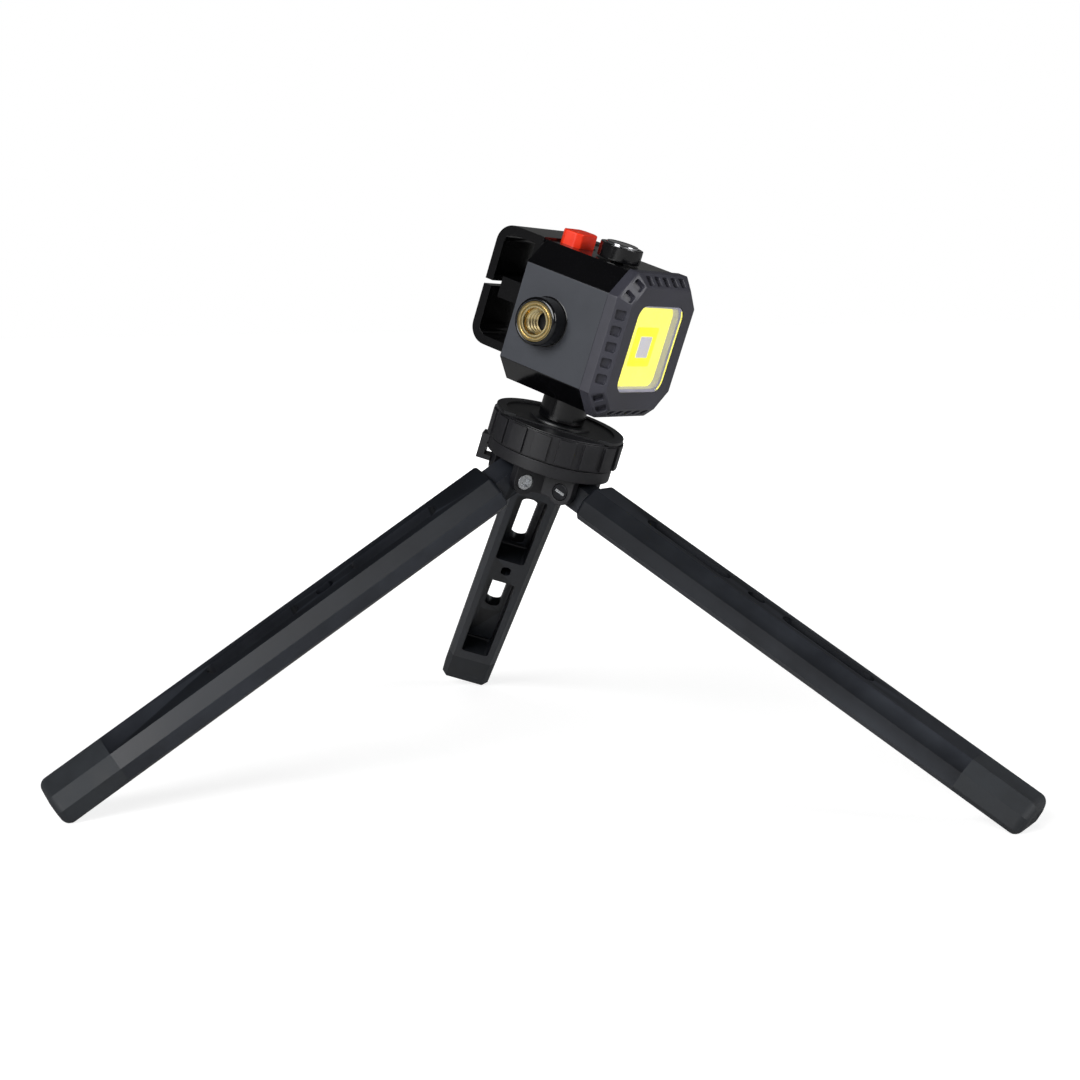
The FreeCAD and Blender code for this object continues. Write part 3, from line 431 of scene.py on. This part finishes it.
def pocket_cutter(start, end, floor):
    """Tool for a pocket in the inner face, with rounded corners and a filleted floor."""
    cutter = slab("pocket_cutter", (start, -4, -4.3), (end, 4, floor))
    pick(cutter, "EDGE", lambda c, d: abs(d.z) > 0.9)
    round_off(1.2, 5)
    pick(cutter, "EDGE", lambda c, d: near(c.z, floor))
    round_off(0.6, 3)
    return solo(cutter)


def slot_cutter(start, end, half, low=1):
    """Tool for a round-ended slot through the outer face."""
    cutter = slab("slot_cutter", (start, -half, low), (end, half, 6))
    pick(cutter, "EDGE", lambda c, d: abs(d.z) > 0.9)
    round_off(half - 0.01, 10)
    return solo(cutter)


def leg_bar():
    """Bar of a leg: tongue and eye at the hinge, pockets, slots and a tenon for the foot."""
    bar = bar_section("leg_bar", 6.2, SPAN, 0)
    pick(bar, "FACE", lambda c, n: n.x > 0.9)
    inset(2)
    push(x=12)
    pick(bar, "EDGE", lambda c, d: near(c.x, 6.2))
    round_off(0.9, 4)
    tongue = slab("tongue", (0, -4.1, -2.9), (8, 4.1, 2.9))
    combine(bar, [tongue, drum("eye", 2.9, -4.1, 4.1, "Y", sides=64)], "UNION")
    step = slab("floor_step", (84, -3.9, 1.6), (111.2, 3.9, 2.5))
    combine(step, [drum("step_edge", 5.6, 0, 4, "Z", (86, 0, 0))])
    combine(bar, [drum("pin_hole", PIN, -5, 5, "Y", sides=48), pocket_cutter(11, 48, 2.2),
                  pocket_cutter(61, 111.5, 2.2), step, slot_cutter(21, 46, 2.1),
                  slot_cutter(62, 88, 2.1), slot_cutter(51.6, 56.4, 1.3, -4)])
    return soften(bar, 0.3, 3)


def rubber_foot():
    """Flush rubber boot with rounded corners, a slightly dished sole and a socket for the bar's tenon."""
    foot = bar_section("rubber_foot", SPAN, TIP, 0)
    pick(foot, "EDGE", lambda c, d: near(c.x, TIP))
    round_off(2.2, 8)
    pick(foot, "FACE", lambda c, n: n.x > 0.99 and near(c.x, TIP))
    inset(0.4)
    inset(0.7)
    shift(x=-0.3)
    pick(foot, "FACE", lambda c, n: n.x < -0.99 and near(c.x, SPAN))
    inset(1.9)
    push(x=12.2)
    return soften(foot, 0.35, 3, 28)


# ---------------------------------------------------------------- hub
def angle_of(point):
    """Direction of a point about Z, in degrees from 0 to 360."""
    return degrees(atan2(point.y, point.x)) % 360


def platform():
    """Round plate with a raised seat, a raised rim band and a flat cut off its near edge."""
    radius, rim, seat, step = 16.2, 2.4, 7.6, 0.4
    plate = drum("top_plate", radius, -0.8, -step, sides=240)
    pick(plate, "FACE", lambda c, n: n.z > 0.9)
    inset(rim)
    inset(radius - rim - seat)
    push(z=step)
    pick(plate, "FACE", lambda c, n: n.z > 0.9 and hypot(c.x, c.y) > radius - rim)
    push(z=step)
    flat = slab("platform_flat", (9, -17, -2), (26, 17, 1))
    flat.matrix_world = Matrix.Rotation(radians(264), 4, "Z")
    solo(flat)
    bpy.ops.object.transform_apply(location=True, rotation=True, scale=True)
    combine(plate, [flat])
    return soften(plate, 0.12, 2)


def grip_ring():
    """Knurled ring: sixteen rounded lobes on a plain wall."""
    pitch, high, low, lobe_high, lobe_low = 22.5, -1.0, -7.8, -1.2, -7.4
    ring = drum("grip_wheel", 15.9, low, high, sides=96)
    for height in (lobe_low, lobe_high):
        pick(ring, "FACE", everything)
        bpy.ops.mesh.bisect(plane_co=(0, 0, height * MM), plane_no=(0, 0, 1))
    pick(ring, "FACE", lambda c, n: abs(n.z) < 0.1 and lobe_low < c.z < lobe_high
         and angle_of(c) % pitch < 15)
    bpy.ops.mesh.extrude_region_shrink_fatten(TRANSFORM_OT_shrink_fatten={"value": 0.7 * MM})
    pick(ring, "FACE", lambda c, n: n.z > 0.9 and c.z > high - 0.1)
    inset(0.9)
    push(z=0.2)
    pick(ring, "FACE", lambda c, n: n.z < -0.9 and near(c.z, low))
    inset(1.8)
    push(z=5.4)
    return soften(ring, 0.42, 4)


def socket_screw():
    """Socket-head screw that is the hinge's pin, its head at the +Y end."""
    screw = drum("hinge_bolt", 1.25, -7, 5.6, "Y", sides=40)
    head = drum("bolt_head", 2.02, 5.5, 7, "Y", sides=64)
    pick(head, "EDGE", lambda c, d: near(c.y, 7))
    round_off(0.25, 3)
    solo(head)
    combine(screw, [head], "UNION")
    return combine(screw, [drum("hex_socket", 2.3 / 3 ** 0.5, 6.1, 8, "Y", sides=6)])


def round_nut():
    """Barrel nut with a driver slot that shows the end of the bolt."""
    nut = drum("hinge_barrel_nut", 2.02, -7.1, -5.95, "Y", sides=64)
    pick(nut, "EDGE", lambda c, d: near(c.y, -7.1))
    round_off(0.2, 2)
    return combine(solo(nut), [slab("driver_slot", (-2.2, -7.4, -0.3), (2.2, -6.95, 0.3))])


# ---------------------------------------------------------------- light head
HEAD_MID = 24.45             # height of the middle of the head
BOSS_X, BOSS_END = -1.5, -22.4   # side boss: its axis along X and its face along Y
KNOB = (4.25, -3.3)          # axis of the dimmer knob


def brass_insert(name, place, body_slot):
    """Brass bush: turned groove in the face, chamfered mouth and a real quarter-inch thread; the floor of its bore
    takes the second material as painted shade.
    """
    pitch, root, crest, depth = 1.27, 3.17, 2.56, 7.4
    bush = drum(name, 4.75, 0, depth, sides=128)
    pick(bush, "FACE", lambda c, n: n.z < -0.9)
    inset(0.45)
    inset(0.12)
    push(z=0.25)
    inset(0.2)
    push(z=-0.25)
    inset(4.75 - 0.77 - root - 0.3)
    inset(0.3)
    push(z=0.3)
    push(z=depth - 1.2)
    soften(bush, 0.05, 1, 50)
    let_go()
    bpy.ops.mesh.primitive_plane_add(size=MM)
    thread = started("thread")
    pick(thread, "VERT", everything)
    mesh = bmesh.from_edit_mesh(thread.data)
    outline = [(root + 0.15, 0.02), (root + 0.15, pitch - 0.02), (crest, pitch * 0.56), (crest, pitch * 0.44)]
    for vertex, (out, up) in zip(mesh.verts, (outline[0], outline[3], outline[1], outline[2])):
        vertex.co = Vector((out, 0, up)) * MM
    bmesh.update_edit_mesh(thread.data)
    modify(thread, "SCREW", axis="Z", screw_offset=pitch * MM, iterations=4, steps=48, render_steps=48,
           use_merge_vertices=True, merge_threshold=0.001 * MM)
    pick(thread, "VERT", everything)
    shift(z=0.6)
    bpy.ops.mesh.fill_holes(sides=6)
    bpy.ops.mesh.normals_make_consistent(inside=False)
    solo(thread)
    joined([bush, thread])
    # The floor of the blind bore takes the second material, black nylon, as painted shade at the bottom of the
    # hole.
    for face in bush.data.polygons:
        face.material_index = 1 if face.normal.z < -0.9 and face.center.z > 5 * MM else 0
    return bush


def shell():
    """Housing: chamfered box, open at the front, with the neck and the side boss."""
    box = slab("lamp_housing", (-11.25, -17.4, 7), (12.75, 17.4, 41.9))
    pick(box, "EDGE", lambda c, d: abs(d.x) > 0.9)
    round_off(5.6)
    pick(box, "FACE", lambda c, n: n.x > 0.9)
    inset(2)
    push(x=-21.8)
    neck = drum("neck", 5.75, 0.25, 10.5, sides=96)
    boss = drum("boss", 5.75, BOSS_END, -15.6, "Y", (BOSS_X, 0, HEAD_MID), 96)
    pick(boss, "EDGE", lambda c, d: near(c.y, BOSS_END))
    round_off(0.7, 4)
    solo(boss)
    combine(box, [neck, boss], "UNION")
    well = slab("button_well", (-10.95, -8.1, 37.4), (-4.55, 1.5, 45))
    pick(well, "EDGE", lambda c, d: abs(d.z) > 0.9)
    round_off(1.3)
    solo(well)
    combine(box, [drum("neck_seat", 4.75, -1, 7.65), well,
                  drum("side_seat", 4.75, -25, -15, "Y", (BOSS_X, 0, HEAD_MID)),
                  drum("shaft_hole", 1.55, 38, 45, "Z", KNOB + (0,), 32)])
    soften(box, 0.25, 3)
    for face in box.data.polygons:
        flank = abs(face.normal.y) > 0.985 and abs(face.center.y) > 17.2 * MM
        face.material_index = 1 if flank else 0
    return box


def bezel():
    """Front bezel: eight-sided, with a sloping band of square notches round the window."""
    half, corner, back, front, slope = 17.9, 6.2, 12.75, 18.25, 2.9
    rim = slab("lamp_bezel", (back, -half, HEAD_MID - half), (front, half, HEAD_MID + half))
    pick(rim, "EDGE", lambda c, d: abs(d.x) > 0.9)
    round_off(corner)
    pick(rim, "EDGE", lambda c, d: near(c.x, front))
    round_off(slope)
    window = slab("window", (back - 1, -10.7, HEAD_MID - 10.8), (front + 1, 10.7, HEAD_MID + 10.8))
    room = slab("optic_room", (back - 1, -13.4, HEAD_MID - 13.8), (front - 1, 13.4, HEAD_MID + 13.8))
    for cutter, radius in ((window, 3.2), (room, 5.2)):
        pick(cutter, "EDGE", lambda c, d: abs(d.x) > 0.9)
        round_off(radius, 8)
        solo(cutter)
    notches = []
    tooth = slab("notch", (-1.25, -1.15, -1.1), (1.25, 1.15, 1.1))
    pick(tooth, "EDGE", lambda c, d: abs(d.z) > 0.9)
    round_off(0.3, 2)
    solo(tooth)
    for side in range(4):
        for turn, spots, out in ((90 * side, (-2, -1, 0, 1, 2), half - slope / 2),
                                 (90 * side + 45, (-0.5, 0.5), 2 ** 0.5 * (half - corner / 2) - slope / 2)):
            for spot in spots:
                notch = twin(tooth, "notch_cutter")
                notch.matrix_world = (Matrix.Translation((0, 0, HEAD_MID * MM))
                                      @ Matrix.Rotation(radians(turn), 4, "X")
                                      @ Matrix.Translation(Vector((front - slope / 2, spot * 3.9, out)) * MM)
                                      @ Matrix.Rotation(radians(45), 4, "Y"))
                notches.append(notch)
    bpy.data.meshes.remove(tooth.data)
    comb = joined(notches)
    solo(comb)
    bpy.ops.object.transform_apply(location=True, rotation=True, scale=True)
    combine(rim, [window, room, comb])
    return soften(rim, 0.16, 2)


def button():
    """Push button: a block with cut corners, softened edges and an outline inset in its flat top."""
    x, y, low, high = -7.75, -3.3, 38.5, 45.3
    cap = slab("power_button", (x - 2.9, y - 4.5, low), (x + 2.9, y + 4.5, high))
    pick(cap, "EDGE", lambda c, d: abs(d.z) > 0.9)
    round_off(1.3)
    pick(cap, "FACE", lambda c, n: n.z > 0.9)
    inset(1.1)
    return soften(cap, 0.35, 4)


def knob():
    """Dimmer knob: a plain drum with a stepped foot and a narrow turned lip round its cap."""
    top = 45.7
    wheel = drum("dimmer_wheel", 5.25, 42.2, top, "Z", KNOB + (0,), 128)
    pick(wheel, "FACE", lambda c, n: n.z > 0.9)
    inset(1.2)
    push(z=-0.3)
    pick(wheel, "FACE", lambda c, n: n.z < -0.9)
    inset(3.75)
    push(z=-6.9)
    return soften(wheel, 0.3, 3)


def knob_cap():
    """Bright cap let into the knob, with a rounded rim and a dished face."""
    low, top = 45.3, 46.2
    cap = drum("dimmer_cap", 3.9, low, top, "Z", KNOB + (0,), 128)
    pick(cap, "EDGE", lambda c, d: near(c.z, top))
    round_off(0.25, 3)
    pick(cap, "FACE", lambda c, n: n.z > 0.99)
    inset(0.5)
    shift(z=-0.12)
    return solo(cap)


def bracket():
    """Strap bracket: an open loop with rounded back corners and a mouth in its back wall."""
    loop = slab("strap_loop", (-24.2, -13, 12.7), (-11.25, 13, 42.4))
    channel = slab("channel", (-22, -14, 14.9), (-13.25, 14, 40.2))
    for piece, radius in ((loop, 4.5), (channel, 2.3)):
        pick(piece, "EDGE", lambda c, d: abs(d.y) > 0.9 and c.x < -20)
        round_off(radius, 10)
        solo(piece)
    mouth = slab("mouth", (-26, -15, 26.8), (-21.5, 15, 28.1))
    combine(loop, [channel, mouth])
    combine(loop, [slab("rib", (-19.45, -13, 24.85), (-12.25, 13, 30.05))], "UNION")
    combine(loop, [drum("screw_hole", 1.42, -20.5, -10.5, "X", (0, y, HEAD_MID), 32) for y in (-8, 8)]
            + [drum("screw_sink", 2.7, -20.5, -12.35, "X", (0, y, HEAD_MID), 48) for y in (-8, 8)])
    return soften(loop, 0.5, 4)


# ---------------------------------------------------------------- build
bar, foot = leg_bar(), rubber_foot()
bolt, nut = socket_screw(), round_nut()
for leg in LEGS:
    settle(twin(bar, "leg_bar_" + leg), LEG[leg], "leg_" + leg, [anodised], ["leg_" + leg])
    settle(twin(foot, "rubber_foot_" + leg), LEG[leg], "leg_" + leg, [rubber], ["foot_" + leg])
    settle(twin(bolt, "hinge_bolt_" + leg), LEG[leg], "hub", [zinc], ["hinge_screw_" + leg])
    settle(twin(nut, "hinge_barrel_nut_" + leg), LEG[leg], "hub", [black_steel], ["hinge_nut_" + leg])
for pattern in (bar, foot, bolt, nut):
    bpy.data.meshes.remove(pattern.data)

world = Matrix.Identity(4)
settle(platform(), HUB, "mount_ring", [painted], ["platform_disc"])
settle(grip_ring(), HUB, "mount_ring", [nylon_black], ["grip_ring"])
settle(refined("hub_collar", "collar_casting", 0.25, 3), world, "hub", [nylon_black],
       ["hub_collar"])
settle(refined("lanyard_hook", "cord_hook", 0.55, 4), world, "hub", [nylon_black],
       ["lanyard_hook"])
settle(shell(), HEAD, "light_head", [abs_gloss, abs_matte], ["head_shell"])
settle(bezel(), HEAD, "light_head", [bezel_satin], ["front_bezel"])
side_place = (HEAD @ Matrix.Translation(Vector((BOSS_X, BOSS_END, HEAD_MID)) * MM)
              @ Matrix.Rotation(-pi / 2, 4, "X"))
base_place = HEAD @ Matrix.Translation(Vector((0, 0, 0.25)) * MM)
# Each bush's second material, black nylon, is painted shade on the floor of its bore.
settle(brass_insert("side_bush", side_place, "brass"), side_place, "light_head", [brass_mat, nylon_black],
       ["side_insert"])
settle(brass_insert("base_bush", base_place, "brass"), base_place, "light_head", [brass_mat, nylon_black],
       ["base_insert"])
settle(button(), HEAD, "button", [red_abs], ["mode_button"])
settle(knob(), HEAD, "knob", [abs_gloss], ["dimmer_knob"])
settle(knob_cap(), HEAD, "knob", [chrome], ["knob_cap"])
settle(bracket(), HEAD, "light_head", [abs_gloss], ["strap_bracket"])
# The phosphor, core, chip and reflector copies take materials with a painted glow.
for label, name, material, slot in (("light_field", "phosphor_field", phosphor, "phosphor"),
                                    ("light_core", "phosphor_square", phosphor_core, "phosphor_core"),
                                    ("light_chip", "emitter_chip", chip_mat, "chip"),
                                    ("reflector_frame", "silver_surround", silver, "frame_silver")):
    settle(refined(label, name, 0.08, 2), world, "light_head", [material], [label])

COATS = {
    "tripod_screw": black_steel, "spindle_clip": black_steel, "window_seal": seal_rubber,
    "window_lens": polycarbonate, "led_board": white_board, "heat_sink": raw_aluminium,
    "circuit_board": green_board, "button_switch": nylon_black, "dimmer": raw_aluminium,
    "battery_cell": cell_wrap, "bracket_screw_near": black_steel, "bracket_screw_far": black_steel,
}
for leg in LEGS:
    for side in ("near", "far"):
        COATS["hinge_washer_%s_%s" % (leg, side)] = natural_nylon
for label, material in COATS.items():
    nodes[label].data.materials.clear()
    nodes[label].data.materials.append(material)


# ---------------------------------------------------------------- studio
def studio_floor():
    """White paper sweep. It glows for the camera only, so it casts no white onto the black parts."""
    let_go()
    bpy.ops.mesh.primitive_plane_add(size=14)
    floor = started("floor")
    material, tree, where = blank("white_paper_sweep")
    clouds = node(tree, "TexNoise", {"Vector": where, "Scale": 1.5, "Detail": 2.0}).outputs["Fac"]
    colour = node(tree, "ValToRGB", {"Fac": clouds}, ramp=[(0.3, grey(0.5)), (0.7, grey(0.54))])
    away = node(tree, "VectorMath", {0: where}, operation="LENGTH").outputs["Value"]
    glow = node(tree, "MapRange", {"Value": away, "From Min": 0.1, "From Max": 0.45,
                                   "To Min": 0.72, "To Max": 1.0}).outputs["Result"]
    seen = node(tree, "LightPath").outputs["Is Camera Ray"]
    glow = node(tree, "Math", {0: glow, 1: seen}, operation="MULTIPLY").outputs[0]
    surface(tree, {"Base Color": colour.outputs["Color"], "Roughness": 0.9,
                   "Emission Color": grey(1.0), "Emission Strength": glow})
    floor.data.materials.append(material)


def softbox(name, place, aim, wide, tall, power, mirrored=True):
    """Rectangular area light at a place, pointing at another, that gloss may or may not mirror."""
    let_go()
    bpy.ops.object.light_add(type="AREA", location=place)
    lamp = bpy.context.active_object
    lamp.name = name
    lamp.data.shape = "RECTANGLE"
    lamp.data.size, lamp.data.size_y, lamp.data.energy = wide, tall, power
    lamp.visible_glossy = mirrored
    lamp.rotation_euler = (Vector(aim) - Vector(place)).to_track_quat("-Z", "Y").to_euler()


def studio_sky():
    """Plain white where the camera looks, and dim walls under a dark ceiling in every reflection."""
    world = bpy.data.worlds.new("studio")
    bpy.context.scene.world = world
    world.use_nodes = True
    tree = world.node_tree
    tree.nodes.clear()
    up = node(tree, "SeparateXYZ", {"Vector": node(tree, "TexCoord").outputs["Generated"]}).outputs["Z"]
    shade = node(tree, "ValToRGB", {"Fac": up},
                 ramp=[(0.0, grey(0.2)), (0.1, grey(0.16)), (0.4, grey(0.05)), (1.0, grey(0.03))])
    seen = node(tree, "LightPath").outputs["Is Camera Ray"]
    shown = node(tree, "Mix", {0: seen, 6: shade.outputs["Color"], 7: grey(1.0)}, data_type="RGBA")
    back = node(tree, "Background", {"Color": shown.outputs[2], "Strength": 1.0})
    node(tree, "OutputWorld", {"Surface": back.outputs["Background"]})


def camera():
    """Camera a little above the table, in front of the stand."""
    bpy.ops.object.camera_add(location=(-0.0103934, -0.5217242, 0.1184583),
                              rotation=[radians(a) for a in (83.1588, 0.9854, -1.8263)])
    view = bpy.context.active_object
    view.name = "camera"
    view.data.sensor_width, view.data.lens = 36, 67.189
    bpy.context.scene.camera = view


studio_floor()
studio_sky()
softbox("key", (-0.55, -0.9, 0.55), (0, 0, 0.08), 0.7, 0.6, 12)
softbox("side", (0.95, -0.45, 0.4), (0, 0, 0.08), 0.5, 0.5, 5.5)
softbox("back", (-0.3, 1.1, 0.3), (0, 0, 0.06), 1.4, 0.7, 8, mirrored=False)
camera()
bpy.context.scene.view_settings.view_transform = "Standard"
